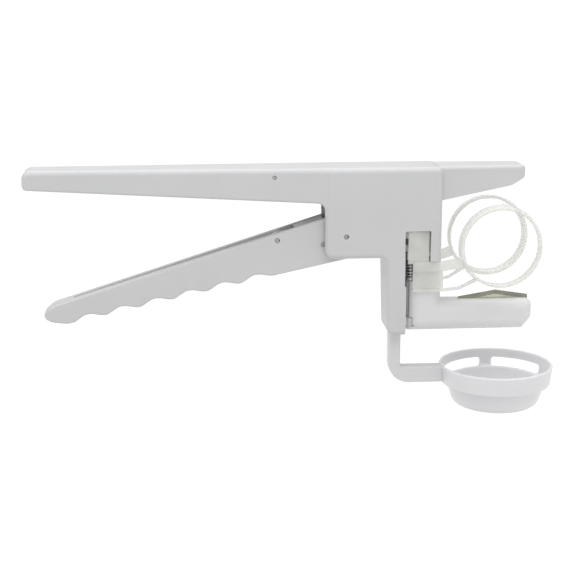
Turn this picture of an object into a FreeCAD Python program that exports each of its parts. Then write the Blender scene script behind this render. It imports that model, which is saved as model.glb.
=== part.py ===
"""Hand-held egg cracker with a clip-in yolk separator.

Frame: millimetres, +X towards the nose, +Y to the left, +Z up. The origin is on the palm face of the
upper handle, on the middle plane, where the hand holds the tool. Squeezing the lower handle turns it
about the pivot pin; its inner bar pushes a carriage down in the housing. The carriage pushes the two
hoops that hold the egg down past the blades, and its wedge spreads the two hinged arms.
"""

import FreeCAD
import Part
import math
import os

V = FreeCAD.Vector

# ---------------------------------------------------------------- driving dimensions
WALL = 2.4                  # moulded wall of the housing
RUN_GAP = 0.05              # radial clearance of a pin that turns
SLIDE_GAP = 0.2             # gap between parts that slide on each other

HANDLE_END_X = -69.5        # free end of the upper handle
HANDLE_END_DEPTH = 9.6      # depth of the upper handle at its free end
HANDLE_ROOT_DEPTH = 17.6    # depth where it meets the housing
HANDLE_END_HALF = 8.6       # half width at the free end
HOUSING_HALF = 12.5         # half width of the housing and of the leg
HOUSING_REAR_X = 78.3
HOUSING_FRONT_X = 136.6
HOUSING_BOTTOM_Z = -45.5
HOUSING_FRONT_BOTTOM_Z = -47.3
NOSE_TIP_X = 178.9
NOSE_ROOT_DEPTH = 17.3
NOSE_ROOT_HALF = 9.6
NOSE_TIP_HALF = 8.4
LEG_REAR_X = 108.8
LEG_FRONT_X = 119.0
LEG_BOTTOM_Z = -85.2
RIB = 1.2                   # thickness of the stiffening ribs

PIVOT = (88.7, -34.0)       # x, z of the pin that the lower handle turns on
PIN_R = 1.25
LEVER_ANGLE = 17.5          # the lower handle hangs this far below level when open
LEVER_TRAVEL = 17.0         # degrees from open to squeezed
LEVER_TOP = 11.3            # its top edge above the pivot, square to the handle
LEVER_FREE = 154.9          # from the pivot to the free end
LEVER_HALF = 7.5
LEVER_TIP_HALF = 6.0
GRIP_FIRST = (-142.3, 0.1)  # first finger crest, along the handle and above the pivot
GRIP_PITCH = 17.1           # from one finger crest to the next
GRIP_DROP = 1.46            # each crest lies this much further from the top edge
GRIP_DEPTH = 2.4            # depth of the hollow between two crests
GRIP_COUNT = 7
RIVET_REAR = (54.9, -36.4)  # x, z of the rivets that hold the bar in the lower handle
RIVET_FRONT = (77.7, -38.6)
RIVET_R = 1.2
BAR_HALF = 1.2              # half thickness of the steel bar inside the lower handle
ANCHOR = (53.2, -4.2)       # x, z of the pin that holds the return spring's fixed end
ANCHOR_R = 1.0
HORN = (84.0, -14.2)        # x, z of the eye in the bar that the return spring pulls on

DRIVE_RADIUS = 35.9         # pivot to drive pin, measured along X
CARRIAGE_TRAVEL = 2 * DRIVE_RADIUS * math.tan(math.radians(LEVER_TRAVEL / 2))

HINGE = (122.0, 6.8)        # x and half spacing in y of the two arm hinge pins
HINGE_R = 1.0
ARM_REAR_X = 119.9
ARM_FRONT_X = 137.7
ARM_TIP_X = 184.8
ARM_TOP_Z = -69.4
ARM_BOTTOM_Z = -84.2
ARM_HALF = 10.0             # outer face of an arm from the middle plane
ARM_SPLIT = 0.15            # inner face of an arm from the middle plane
POST_TOP_Z = -43.2

HOOP = (165.4, -39.5)       # x, z of the axis that the egg's long axis lies on
HOOP_INNER_Y = 12.9
HOOP_OUTER_Y = 19.2
HOOP_WIDE_R = 20.9
HOOP_NARROW_R = 20.3
HOOP_WALL = 1.6

CUP_X = 168.6
CUP_RIM_Z = -104.2
CUP_RIM_R = 29.3
CUP_WALL = 1.6
CUP_BOTTOM_Z = -125.6
CUP_SLOTS = ((19, 82), (95, 156))   # degrees round from +X, start and end of each slot
SLOT_HEIGHT = 5.2
SLOT_BOTTOM_Z = -114.0
STEM_X = (112.6, 117.6)    # the part of the stem that goes into the leg
STEM_HALF = 3.6
STEM_SHOULDER = 0.55        # how much wider the stem is below the leg


# ---------------------------------------------------------------- helpers
def rounded_face(points, plane):
    """A face from corner points (a, b, radius); plane maps (a, b) to a 3-D point."""
    edges = []
    count = len(points)
    corners = []
    for i, (a, b, radius) in enumerate(points):
        here = V(a, b, 0)
        before = V(points[i - 1][0], points[i - 1][1], 0)
        after = V(points[(i + 1) % count][0], points[(i + 1) % count][1], 0)
        to_before = (before - here).normalize()
        to_after = (after - here).normalize()
        if radius <= 0:
            corners.append((here, None, here))
            continue
        half = to_before.getAngle(to_after) / 2
        cut = radius / math.tan(half)
        bisector = (to_before + to_after).normalize()
        centre = here + bisector * (radius / math.sin(half))
        middle = centre - bisector * radius
        corners.append((here + to_before * cut, middle, here + to_after * cut))
    for i, (start, middle, end) in enumerate(corners):
        if middle is not None:
            arc = Part.Arc(plane(start), plane(middle), plane(end))
            edges.append(arc.toShape())
        following = corners[(i + 1) % count][0]
        if (following - end).Length > 1e-6:
            edges.append(Part.LineSegment(plane(end), plane(following)).toShape())
    return Part.Face(Part.Wire(edges))


def side_prism(points, y_low, y_high):
    """A side view outline of (x, z, radius) corners, pushed through from y_low to y_high."""
    face = rounded_face(points, lambda p: V(p.x, y_low, p.y))
    return face.extrude(V(0, y_high - y_low, 0))


def plan_prism(points, z_low, z_high):
    """A plan view outline of (x, y, radius) corners, pushed up from z_low to z_high."""
    face = rounded_face(points, lambda p: V(p.x, p.y, z_low))
    return face.extrude(V(0, 0, z_high - z_low))


def box(x_low, x_high, y_low, y_high, z_low, z_high):
    return Part.makeBox(x_high - x_low, y_high - y_low, z_high - z_low, V(x_low, y_low, z_low))


def cross_pin(radius, x, z, half_length):
    """A pin along Y, centred on the middle plane."""
    return Part.makeCylinder(radius, 2 * half_length, V(x, -half_length, z), V(0, 1, 0))


def upright_pin(radius, x, y, z_low, z_high):
    return Part.makeCylinder(radius, z_high - z_low, V(x, y, z_low))


def mirrored(shape):
    """The same part for the other side of the middle plane."""
    return shape.mirror(V(0, 0, 0), V(0, 1, 0))


def fillet_where(shape, radius, wanted):
    """Rounds the edges whose bounding box the test accepts."""
    edges = [e for e in shape.Edges if wanted(e.BoundBox)]
    return shape.makeFillet(radius, edges)


def coil(radius, wire_r, pitch, height):
    """A round-wire helix standing on the origin along +Z."""
    path = Part.makeHelix(pitch, height, radius)
    section = Part.Wire(Part.makeCircle(wire_r, V(radius, 0, 0), V(0, 1, 0)))
    return Part.Wire(path.Edges).makePipeShell([section], True, True)


def save(name, shape):
    solids = shape.Solids
    if not solids or not all(s.isValid() and s.Volume > 0 for s in solids):
        raise RuntimeError(name + " has no valid solid")
    shape.exportStep("parts/" + name + ".step")
    size = shape.optimalBoundingBox()
    print("%-22s %d solid(s) %9.1f mm3  x %.1f..%.1f y %.1f..%.1f z %.1f..%.1f" % (
        name, len(solids), sum(s.Volume for s in solids),
        size.XMin, size.XMax, size.YMin, size.YMax, size.ZMin, size.ZMax))


# ---------------------------------------------------------------- housing and its pins
def handle_half_width(x):
    """Half width of the upper handle, which widens evenly towards the housing."""
    share = (x - HANDLE_END_X) / (HOUSING_REAR_X - HANDLE_END_X)
    return HANDLE_END_HALF + (HOUSING_HALF - HANDLE_END_HALF) * min(1.0, share)


def plan_outline(inset, x_low, x_high, radius):
    """Plan of the handle and housing, inset by a wall."""
    low_half = handle_half_width(x_low) - inset
    high_half = HOUSING_HALF - inset
    return [
        (x_low, -low_half, radius), (HOUSING_REAR_X, -high_half, 0), (x_high, -high_half, radius),
        (x_high, high_half, radius), (HOUSING_REAR_X, high_half, 0), (x_low, low_half, radius),
    ]


def handle_outside():
    """Upper handle with its tapered sides, running into the housing."""
    root_x = HOUSING_REAR_X + 10
    root_half = handle_half_width(HOUSING_REAR_X) - 0.1
    side = side_prism([
        (HANDLE_END_X, 0, 4.6), (root_x, 0, 0), (root_x, -24.0, 0), (HOUSING_REAR_X, -24.0, 0),
        (HOUSING_REAR_X, -HANDLE_ROOT_DEPTH, 4.2), (HANDLE_END_X, -HANDLE_END_DEPTH, 2.4),
    ], -20, 20)
    plan = plan_prism([
        (HANDLE_END_X, -HANDLE_END_HALF, 3.0), (root_x, -root_half, 0),
        (root_x, root_half, 0), (HANDLE_END_X, HANDLE_END_HALF, 3.0),
    ], -100, 10)
    handle = side.common(plan)
    long_top = lambda b: b.ZMin > -0.01 and b.XLength > 50 and b.YLength < 6
    handle = fillet_where(handle, 2.6, long_top)
    long_low = lambda b: b.ZMax < -5 and b.XLength > 50 and b.YLength < 6
    return fillet_where(handle, 1.4, long_low)


def block_outside():
    """Housing block and leg, rounded all along both sides."""
    block = side_prism([
        (HOUSING_REAR_X, 0, 3.4), (HOUSING_FRONT_X, 0, 3.4),
        (HOUSING_FRONT_X, HOUSING_FRONT_BOTTOM_Z, 0), (LEG_FRONT_X, HOUSING_FRONT_BOTTOM_Z, 0),
        (LEG_FRONT_X, LEG_BOTTOM_Z, 0), (LEG_REAR_X + 1.2, LEG_BOTTOM_Z, 3.4),
        (LEG_REAR_X, HOUSING_BOTTOM_Z, 3.6), (HOUSING_REAR_X, HOUSING_BOTTOM_Z, 4.4),
    ], -HOUSING_HALF, HOUSING_HALF)
    sides = lambda b: b.YLength < 0.01 and b.XMax < LEG_FRONT_X - 3 and b.ZMax < -2
    return fillet_where(block, 2.8, sides)


def nose_outside():
    side = side_prism([
        (HOUSING_FRONT_X - 2, 0, 0), (NOSE_TIP_X, 0, 2.6), (NOSE_TIP_X, -5.6, 2.0),
        (171.6, -9.9, 3.0), (HOUSING_FRONT_X - 2, -NOSE_ROOT_DEPTH, 0),
    ], -20, 20)
    plan = plan_prism([
        (HOUSING_FRONT_X - 2, -NOSE_ROOT_HALF, 0), (NOSE_TIP_X, -NOSE_TIP_HALF, 3.4),
        (NOSE_TIP_X, NOSE_TIP_HALF, 3.4), (HOUSING_FRONT_X - 2, NOSE_ROOT_HALF, 0),
    ], -100, 10)
    nose = side.common(plan)
    long_top = lambda b: b.ZMin > -0.01 and b.XLength > 20 and b.YLength < 5
    return fillet_where(nose, 1.8, long_top)


def hinge_lug(z_low, z_high):
    """A lug on the front of the leg that holds one hinge pin, on the left side."""
    x, y = HINGE
    neck = box(LEG_FRONT_X - 1.0, x, y - 1.9, y + 1.0, z_low, z_high)
    return neck.fuse(upright_pin(1.9, x, y, z_low, z_high))


def housing():
    shape = block_outside().fuse([handle_outside(), nose_outside()])
    inner = HOUSING_HALF - WALL
    top = -2.4
    channel = plan_prism(plan_outline(WALL, HANDLE_END_X + WALL, HOUSING_REAR_X + WALL + 1, 2.0),
                         -HANDLE_ROOT_DEPTH - 0.6, top)
    bay = box(HOUSING_REAR_X + WALL, HOUSING_FRONT_X - WALL, -inner, inner, HOUSING_BOTTOM_Z, top)
    front_bay = box(LEG_FRONT_X, HOUSING_FRONT_X - WALL, -inner, inner, -60, HOUSING_BOTTOM_Z + 1)
    lever_slot = box(HOUSING_REAR_X - 1, HOUSING_REAR_X + WALL + 1, -8.3, 8.3, -60, -10)
    nose_channel = plan_prism([
        (HOUSING_FRONT_X, -NOSE_ROOT_HALF + 2, 0), (NOSE_TIP_X - 2.2, -NOSE_TIP_HALF + 2, 2.0),
        (NOSE_TIP_X - 2.2, NOSE_TIP_HALF - 2, 2.0), (HOUSING_FRONT_X, NOSE_ROOT_HALF - 2, 0),
    ], -30, -2.2)
    shape = shape.cut(channel).cut(bay).cut(front_bay).cut(lever_slot).cut(nose_channel)
    ribs = [box(x, x + RIB, -8.6, 8.6, -6.4, top + 0.5) for x in (-46.0, -16.0, 14.0)]
    ribs += [box(x, x + RIB, -7.4, 7.4, -5.0, top + 0.5) for x in (148.0, 162.0)]
    shape = shape.fuse(ribs)
    web = box(LEG_FRONT_X - 3, LEG_FRONT_X, 3.0, inner - 1.5, HOUSING_BOTTOM_Z, -39.5)
    guide = box(122.7, 124.1, 8.8, inner, -31.0, -16.0)
    for side in (1, -1):
        window = box(LEG_FRONT_X - 0.9, 131.0, inner - 1.2, HOUSING_HALF + 1, -60, -31.8)
        left = web.fuse([hinge_lug(-43.0, -39.5), hinge_lug(-81.0, -77.0), guide])
        if side < 0:
            window = mirrored(window)
            left = mirrored(left)
        shape = shape.cut(window).fuse(left)
        shape = shape.cut(upright_pin(HINGE_R, HINGE[0], side * HINGE[1], -81.0, -39.0))
    socket = box(STEM_X[0] - SLIDE_GAP, STEM_X[1] + SLIDE_GAP, -STEM_HALF - SLIDE_GAP,
                 STEM_HALF + SLIDE_GAP, LEG_BOTTOM_Z - 1, -62.0)
    core = box(LEG_REAR_X + 2.2, LEG_FRONT_X - 2.4, -8.0, 8.0, -58.0, HOUSING_BOTTOM_Z + 1)
    shape = shape.cut(socket).cut(core)
    shape = shape.cut(cross_pin(PIN_R, PIVOT[0], PIVOT[1], 20))
    shape = shape.cut(cross_pin(ANCHOR_R, ANCHOR[0], ANCHOR[1], 20))
    return shape.removeSplitter()


def pivot_pin():
    return cross_pin(PIN_R, PIVOT[0], PIVOT[1], HOUSING_HALF - 0.25)


def anchor_pin():
    return cross_pin(ANCHOR_R, ANCHOR[0], ANCHOR[1], handle_half_width(ANCHOR[0]) - 0.25)


def hinge_pin():
    return upright_pin(HINGE_R, HINGE[0], HINGE[1], -80.6, -39.7)


def pivot_washers():
    """Two nylon spacers that centre the lower handle between the housing walls."""
    ring = Part.makeCylinder(4.2, 2.4, V(PIVOT[0], LEVER_HALF + 0.1, PIVOT[1]), V(0, 1, 0))
    ring = ring.cut(cross_pin(PIN_R + RUN_GAP, PIVOT[0], PIVOT[1], 20))
    return Part.makeCompound([ring, mirrored(ring)])


# ---------------------------------------------------------------- lower handle
def on_lever(along, above):
    """A point (x, z) from its distances along the open lower handle and above the pivot."""
    tilt = math.radians(LEVER_ANGLE)
    x = PIVOT[0] + along * math.cos(tilt) - above * math.sin(tilt)
    z = PIVOT[1] + along * math.sin(tilt) + above * math.cos(tilt)
    return x, z


def lever_point(along, above):
    x, z = on_lever(along, above)
    return V(x, 0, z)


def lever_line(start, end):
    return Part.LineSegment(lever_point(*start), lever_point(*end)).toShape()


def finger_crests():
    """Crests of the finger grips as (along, above) pairs, from the free end on."""
    along, above = GRIP_FIRST
    return [(along + i * GRIP_PITCH, above - i * GRIP_DROP) for i in range(GRIP_COUNT)]


def grip_curve():
    """Smooth waves of the finger grips, steeper on the side towards the free end."""
    points = []
    for along, above in finger_crests():
        for share, rise in ((0.0, 0.0), (0.22, 0.5), (0.46, 1.0), (0.74, 0.5)):
            points.append(lever_point(along + share * GRIP_PITCH, above - share * GRIP_DROP + rise * GRIP_DEPTH))
    points = points[:-3]
    tilt = math.radians(LEVER_ANGLE)
    run = V(math.cos(tilt), 0, math.sin(tilt) - 0.08)
    curve = Part.BSplineCurve()
    curve.interpolate(Points=points, InitialTangent=run * GRIP_PITCH / 4, FinalTangent=run * GRIP_PITCH / 4)
    return curve.toShape()


def tip_curve(top_rear):
    """Rounded free end of the lower handle, from its top edge round to the first crest."""
    tilt = math.radians(LEVER_ANGLE)
    curve = Part.BSplineCurve()
    curve.interpolate(
        Points=[lever_point(*top_rear), lever_point(-152.0, LEVER_TOP - 1.4), lever_point(-LEVER_FREE, LEVER_TOP - 3.8),
                lever_point(-153.6, 4.9), lever_point(-150.8, 2.9), lever_point(-147.0, 1.2),
                lever_point(*finger_crests()[0])],
        InitialTangent=V(-math.cos(tilt), 0, -math.sin(tilt)) * 4,
        FinalTangent=V(math.cos(tilt), 0, math.sin(tilt) - 0.08) * 4)
    return curve.toShape()


def lever_outside():
    """Side outline of the lower handle: straight top, rounded free end, six finger hollows."""
    last = finger_crests()[-1]
    low_front, front, top_front = (3.0, -12.6), (9.5, -7.0), (9.5, LEVER_TOP)
    top_rear = (-146.5, LEVER_TOP)
    edges = [grip_curve(), tip_curve(top_rear)]
    for start, end in ((last, low_front), (low_front, front), (front, top_front), (top_front, top_rear)):
        edges.append(lever_line(start, end))
    face = Part.Face(Part.Wire(Part.__sortEdges__(edges)))
    solid = face.extrude(V(0, 40, 0))
    solid.translate(V(0, -20, 0))
    solid = solid.common(lever_plan(PIVOT[0] - LEVER_FREE - 10, 0))
    long_sides = lambda b: b.XLength > 90 and b.YLength < 3
    solid = fillet_where(solid, 1.0, long_sides)
    return solid.common(lever_plan(lever_point(-LEVER_FREE, LEVER_TOP - 3.8).x, 4.0))


def lever_plan(far, radius):
    """Plan of the lower handle, which narrows evenly towards its free end."""
    near = PIVOT[0] + 25
    far_half, near_half = lever_half_width(far), lever_half_width(near)
    return plan_prism([
        (far, -far_half, radius), (near, -near_half, 0), (near, near_half, 0), (far, far_half, radius),
    ], -120, 20)


def lever_channel():
    """Open channel in the top of the lower handle, narrow in the grip and wide at the bar."""
    floor_rear = (-138.0, 6.0)
    floor_front = (12.0, -9.2)
    outline = [floor_rear, floor_front, (12.0, 40.0), (-138.0, 40.0)]
    points = [lever_point(*p) for p in outline]
    channel = Part.Face(Part.makePolygon(points + points[:1])).extrude(V(0, 40, 0))
    channel.translate(V(0, -20, 0))
    rear_x = lever_point(*floor_rear).x
    plan = plan_prism([
        (rear_x - 6, -0.9, 0), (50.0, -3.2, 0), (70.0, -5.5, 0), (120.0, -5.5, 0),
        (120.0, 5.5, 0), (70.0, 5.5, 0), (50.0, 3.2, 0), (rear_x - 6, 0.9, 0),
    ], -120, 20)
    return channel.common(plan)


def lever_deck():
    """Short lid over the bar, between its rear end and the housing."""
    rear, front = -23.0, -8.0
    corners = [(rear, LEVER_TOP - 1.9), (front, LEVER_TOP - 1.9), (front, LEVER_TOP - 0.5), (rear, LEVER_TOP - 0.5)]
    points = [lever_point(*c) for c in corners]
    deck = Part.Face(Part.makePolygon(points + points[:1])).extrude(V(0, 12.4, 0))
    deck.translate(V(0, -6.2, 0))
    return deck


def lower_handle():
    shell = lever_outside().cut(lever_channel()).fuse(lever_deck())
    boss = Part.makeCylinder(3.6, 4.1, V(0, 1.4, 0), V(0, 1, 0))
    bosses = []
    for x, z in (RIVET_REAR, RIVET_FRONT, PIVOT):
        for part in (boss.copy(), mirrored(boss)):
            part.translate(V(x, 0, z))
            bosses.append(part)
    shell = shell.fuse(bosses)
    shell = shell.cut(cross_pin(PIN_R + RUN_GAP, PIVOT[0], PIVOT[1], 20))
    for x, z in (RIVET_REAR, RIVET_FRONT):
        shell = shell.cut(cross_pin(RIVET_R, x, z, 20))
    return shell.removeSplitter()


def lever_half_width(x):
    """Half width of the lower handle, which narrows evenly towards its free end."""
    share = (x - (PIVOT[0] - LEVER_FREE)) / (LEVER_FREE + 25)
    return LEVER_TIP_HALF + (LEVER_HALF - LEVER_TIP_HALF) * share


def drive_pin_place():
    return PIVOT[0] + DRIVE_RADIUS, PIVOT[1] + CARRIAGE_TRAVEL / 2


def lever_bar():
    """Flat steel bar: riveted in the handle, turns on the pivot and drives the carriage."""
    drive_x, drive_z = drive_pin_place()
    bar = side_prism([
        (RIVET_REAR[0] - 4, RIVET_REAR[1] - 3.4, 3), (RIVET_FRONT[0], RIVET_FRONT[1] - 4.2, 8),
        (PIVOT[0] + 4, PIVOT[1] - 5.6, 8), (drive_x + 3.4, drive_z - 2.9, 2.8),
        (drive_x + 3.4, drive_z + 3.4, 3.1), (PIVOT[0] + 5.5, PIVOT[1] + 7.0, 5),
        (HORN[0] + 3.0, HORN[1] + 2.6, 2.4), (HORN[0] - 2.6, HORN[1] + 2.6, 2.4),
        (PIVOT[0] - 9.0, PIVOT[1] + 3.5, 6), (RIVET_REAR[0] - 4, RIVET_REAR[1] + 3.0, 2.8),
    ], -BAR_HALF, BAR_HALF)
    bar = bar.cut(cross_pin(PIN_R + RUN_GAP, PIVOT[0], PIVOT[1], 5))
    for x, z in (RIVET_REAR, RIVET_FRONT):
        bar = bar.cut(cross_pin(RIVET_R, x, z, 5))
    bar = bar.cut(cross_pin(0.9, HORN[0], HORN[1], 5))
    slot_r = PIN_R + 0.12
    reach = 0.55
    tilt = math.atan2(CARRIAGE_TRAVEL / 2, DRIVE_RADIUS)
    slot = box(-reach, reach, -5, 5, -slot_r, slot_r)
    for end in (-reach, reach):
        slot = slot.fuse(cross_pin(slot_r, end, 0, 5))
    slot.rotate(V(0, 0, 0), V(0, 1, 0), -math.degrees(tilt))
    slot.translate(V(drive_x - 0.3, 0, drive_z))
    return bar.cut(slot).removeSplitter()


def lever_rivets():
    """Two rivets through the grip walls and the bar."""
    pins = []
    for x, z in (RIVET_REAR, RIVET_FRONT):
        pins.append(cross_pin(RIVET_R, x, z, lever_half_width(x) - 0.1))
    return Part.makeCompound(pins)


# ---------------------------------------------------------------- carriage and wedge
CARRIAGE_FRONT_X = HOUSING_FRONT_X - WALL - 0.3
CARRIAGE_BOTTOM_Z = -31.7
CARRIAGE_TOP_Z = -23.9
WEDGE_X = (128.9, 131.2)
WEDGE_TIP_Z = -42.9
WEDGE_SLOPE = 0.22


def carriage():
    """Nylon block that slides in the housing; the bar drives it and it drives hoops and wedge."""
    wide = HOUSING_HALF - WALL - SLIDE_GAP
    drive_x, drive_z = drive_pin_place()
    block = box(drive_x - 0.3, CARRIAGE_FRONT_X, -wide, wide, CARRIAGE_BOTTOM_Z, CARRIAGE_TOP_Z)
    block = fillet_where(block, 1.0, lambda b: b.ZLength > 5)
    rear = box(drive_x - 2.6, drive_x + 2, -4.5, 4.5, CARRIAGE_BOTTOM_Z, CARRIAGE_TOP_Z)
    block = block.fuse(rear)
    block = block.cut(box(drive_x - 4, drive_x + 5.3, -1.6, 1.6, -60, 0))
    block = block.cut(cross_pin(PIN_R, drive_x, drive_z, 20))
    block = block.cut(box(WEDGE_X[0], WEDGE_X[1], -3.0, 3.0, -60, CARRIAGE_BOTTOM_Z + 3))
    return block.removeSplitter()


def drive_pin():
    x, z = drive_pin_place()
    return cross_pin(PIN_R, x, z, 4.4)


def wedge():
    """Steel spreader that the carriage carries between the tops of the arms."""
    root = 0.05 + WEDGE_SLOPE * (CARRIAGE_BOTTOM_Z - WEDGE_TIP_Z)
    face = Part.Face(Part.makePolygon([
        V(WEDGE_X[0], -0.28, WEDGE_TIP_Z), V(WEDGE_X[0], 0.28, WEDGE_TIP_Z),
        V(WEDGE_X[0], root, CARRIAGE_BOTTOM_Z), V(WEDGE_X[0], 3.0, CARRIAGE_BOTTOM_Z),
        V(WEDGE_X[0], 3.0, CARRIAGE_BOTTOM_Z + 3), V(WEDGE_X[0], -3.0, CARRIAGE_BOTTOM_Z + 3),
        V(WEDGE_X[0], -3.0, CARRIAGE_BOTTOM_Z), V(WEDGE_X[0], -root, CARRIAGE_BOTTOM_Z),
        V(WEDGE_X[0], -0.28, WEDGE_TIP_Z),
    ]))
    return face.extrude(V(WEDGE_X[1] - WEDGE_X[0], 0, 0))


# ---------------------------------------------------------------- arms, blades
BLADE_X = (147.8, 183.6)
BLADE_THICK = 0.6
BLADE_ROOT_Z = -78.0
BLADE_RIVETS = ((154.0, -74.2), (177.0, -74.2))


def blade_face(grow):
    """Side outline of a blade, grown a little for the pocket it sits in."""
    points = [
        (BLADE_X[0] - grow, BLADE_ROOT_Z - grow), (BLADE_X[1] + grow, BLADE_ROOT_Z - grow),
        (BLADE_X[1] + grow, -67.8 + grow), (167.0, -65.2 + grow), (BLADE_X[0] - grow, -68.4 + grow),
    ]
    corners = [V(x, ARM_SPLIT, z) for x, z in points]
    return Part.Face(Part.makePolygon(corners + corners[:1]))


def left_arm():
    body = side_prism([
        (ARM_REAR_X, -47.6, 0.8), (ARM_FRONT_X, -47.6, 1.0), (ARM_FRONT_X, ARM_TOP_Z, 1.6),
        (ARM_TIP_X, ARM_TOP_Z, 2.6), (ARM_TIP_X, -78.4, 1.2), (ARM_TIP_X - 4.8, ARM_BOTTOM_Z, 1.2),
        (ARM_REAR_X, ARM_BOTTOM_Z, 1.6),
    ], ARM_SPLIT, ARM_HALF)
    outer_top = lambda b: b.YMin > ARM_HALF - 0.01 and b.XLength > 30 and b.ZMin > ARM_TOP_Z - 0.1
    body = fillet_where(body, 6.5, outer_top)
    post = box(ARM_REAR_X, 130.4, ARM_SPLIT, 8.3, -50, POST_TOP_Z)
    tab = box(ARM_REAR_X + 3, 131.6, ARM_SPLIT, 4.8, -50, POST_TOP_Z)
    body = body.fuse(post).fuse(tab)
    rear_bevels = plan_prism([
        (ARM_REAR_X - 1, ARM_SPLIT - 1, 0), (ARM_REAR_X + 2, ARM_SPLIT - 1, 0),
        (ARM_REAR_X - 1, ARM_SPLIT + 2, 0)], ARM_BOTTOM_Z - 1, POST_TOP_Z + 1)
    outer_bevel = plan_prism([
        (ARM_REAR_X - 1, ARM_HALF + 1, 0), (ARM_REAR_X - 1, ARM_HALF - 1.7, 0),
        (ARM_REAR_X + 1.7, ARM_HALF + 1, 0)], ARM_BOTTOM_Z - 1, POST_TOP_Z + 1)
    body = body.cut(rear_bevels).cut(outer_bevel)
    lead = Part.Face(Part.makePolygon([
        V(123, 0, POST_TOP_Z + 0.1), V(123, 1.35, POST_TOP_Z + 0.1), V(123, 0, POST_TOP_Z - 1.25),
        V(123, 0, POST_TOP_Z + 0.1),
    ])).extrude(V(12, 0, 0))
    body = body.cut(lead)
    x, y = HINGE
    body = body.cut(upright_pin(HINGE_R + RUN_GAP, x, y, -81.2, -40))
    body = body.cut(box(ARM_REAR_X - 1, x + 2.3, y - 2.4, y + 2.2, -81.3, -76.7))
    body = body.cut(upright_pin(3.3, x, y, -58.0, -47.0))
    body = body.cut(box(ARM_REAR_X - 1, x - 0.3, y - 2.9, ARM_HALF + 1, -58.0, -47.0))
    body = body.cut(blade_face(0.05).extrude(V(0, BLADE_THICK + 0.02, 0)))
    for rivet_x, rivet_z in BLADE_RIVETS:
        body = body.cut(cross_pin(1.0, rivet_x, rivet_z, 5.15))
    coring = box(126.5, 134.5, ARM_SPLIT - 1, 7.0, -80.5, -60.0)
    body = body.cut(fillet_where(coring, 1.0, lambda b: b.YLength > 5))
    return body.removeSplitter()


def left_blade():
    blade = blade_face(0).extrude(V(0, BLADE_THICK, 0))
    for x, z in BLADE_RIVETS:
        blade = blade.cut(cross_pin(1.0, x, z, 5))
    return blade


def left_blade_rivets():
    pins = []
    for x, z in BLADE_RIVETS:
        pins.append(Part.makeCylinder(1.0, 4.9, V(x, ARM_SPLIT, z), V(0, 1, 0)))
    return Part.makeCompound(pins)


# ---------------------------------------------------------------- cradles
def strap(low_section, high_section):
    """A straight strap between two upright rectangles (x, y low, y high, z low, z high)."""
    wires = []
    for x, y_low, y_high, z_low, z_high in (low_section, high_section):
        wires.append(Part.makePolygon([
            V(x, y_low, z_low), V(x, y_high, z_low), V(x, y_high, z_high), V(x, y_low, z_high),
            V(x, y_low, z_low)]))
    return Part.makeLoft(wires, True, True)


def left_cradle():
    """Translucent hoop that carries one end of the egg, on a saddle that slides on its arm."""
    lean = HOOP_WIDE_R - HOOP_NARROW_R
    section = Part.Face(rounded_face([
        (HOOP_WIDE_R - HOOP_WALL, HOOP_INNER_Y, 0.5), (HOOP_WIDE_R, HOOP_INNER_Y, 0.5),
        (HOOP_NARROW_R, HOOP_OUTER_Y, 0.5), (HOOP_WIDE_R - HOOP_WALL - lean, HOOP_OUTER_Y, 0.5),
    ], lambda p: V(HOOP[0] + p.x, p.y, HOOP[1])).OuterWire)
    hoop = section.revolve(V(HOOP[0], 0, HOOP[1]), V(0, 1, 0), 360)
    bore = Part.makeCone(HOOP_WIDE_R - HOOP_WALL + 0.5, HOOP_WIDE_R - HOOP_WALL - lean - 0.4, 9.0,
                         V(HOOP[0], HOOP_INNER_Y - 1.0, HOOP[1]), V(0, 1, 0))
    inner = ARM_HALF + 0.15
    plate = box(122.4, ARM_FRONT_X, inner, 11.0, -62.9, -49.0)
    upper_band = box(122.4, ARM_FRONT_X, inner, 12.0, -52.3, -47.5)
    lower_band = box(122.4, ARM_FRONT_X, inner, 11.8, -62.9, -61.5)
    upper_strap = strap((ARM_FRONT_X - 0.5, 10.4, 12.0, -52.3, -47.5), (147.6, 14.0, 16.4, -50.0, -44.6))
    lower_strap = strap((ARM_FRONT_X - 0.5, 10.4, 11.8, -62.9, -61.5), (145.5, 12.2, 13.8, -61.6, -60.2))
    lower_rise = strap((145.2, 12.2, 13.8, -61.65, -60.25), (153.6, 13.8, 15.6, -57.2, -55.4))
    straps = upper_strap.fuse([lower_strap, lower_rise]).cut(bore)
    tongue = box(119.9, 130.4, inner, 11.3, -48.4, -32.3)
    pad = box(125.0, 129.6, 8.5, inner + 0.1, -36.6, -32.3)
    shape = plate.fuse([upper_band, lower_band, straps, tongue, pad, hoop])
    return shape.removeSplitter()


# ---------------------------------------------------------------- springs
def rod(start, end, radius):
    return Part.makeCylinder(radius, (end - start).Length, start, end - start)


def return_spring():
    """Tension spring from the anchor pin in the upper handle to the horn of the bar."""
    anchor = V(ANCHOR[0], 0, ANCHOR[1])
    horn = V(HORN[0], 0, HORN[1])
    reach = (horn - anchor).Length
    wire, winding_r, eye_r, hook_r = 0.3, 1.6, 1.35, 2.4
    first = eye_r + 1.2
    last = reach - 2 * hook_r - 1.0
    winding = coil(winding_r, wire, 0.78, last - first)
    winding.translate(V(0, 0, first))
    eye = Part.makeTorus(eye_r, wire, V(0, 0, 0), V(0, 1, 0))
    hook = Part.makeTorus(hook_r, wire, V(0, 0, reach - hook_r), V(1, 0, 0))
    lead_in = rod(V(0, 0, eye_r), V(winding_r, 0, first), wire)
    lead_out = rod(V(winding_r, 0, last), V(0, 0, reach - 2 * hook_r), wire)
    shape = Part.makeCompound([winding, eye, hook, lead_in, lead_out])
    shape.Placement = FreeCAD.Placement(anchor, FreeCAD.Rotation(V(0, 0, 1), horn - anchor))
    return shape


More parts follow.
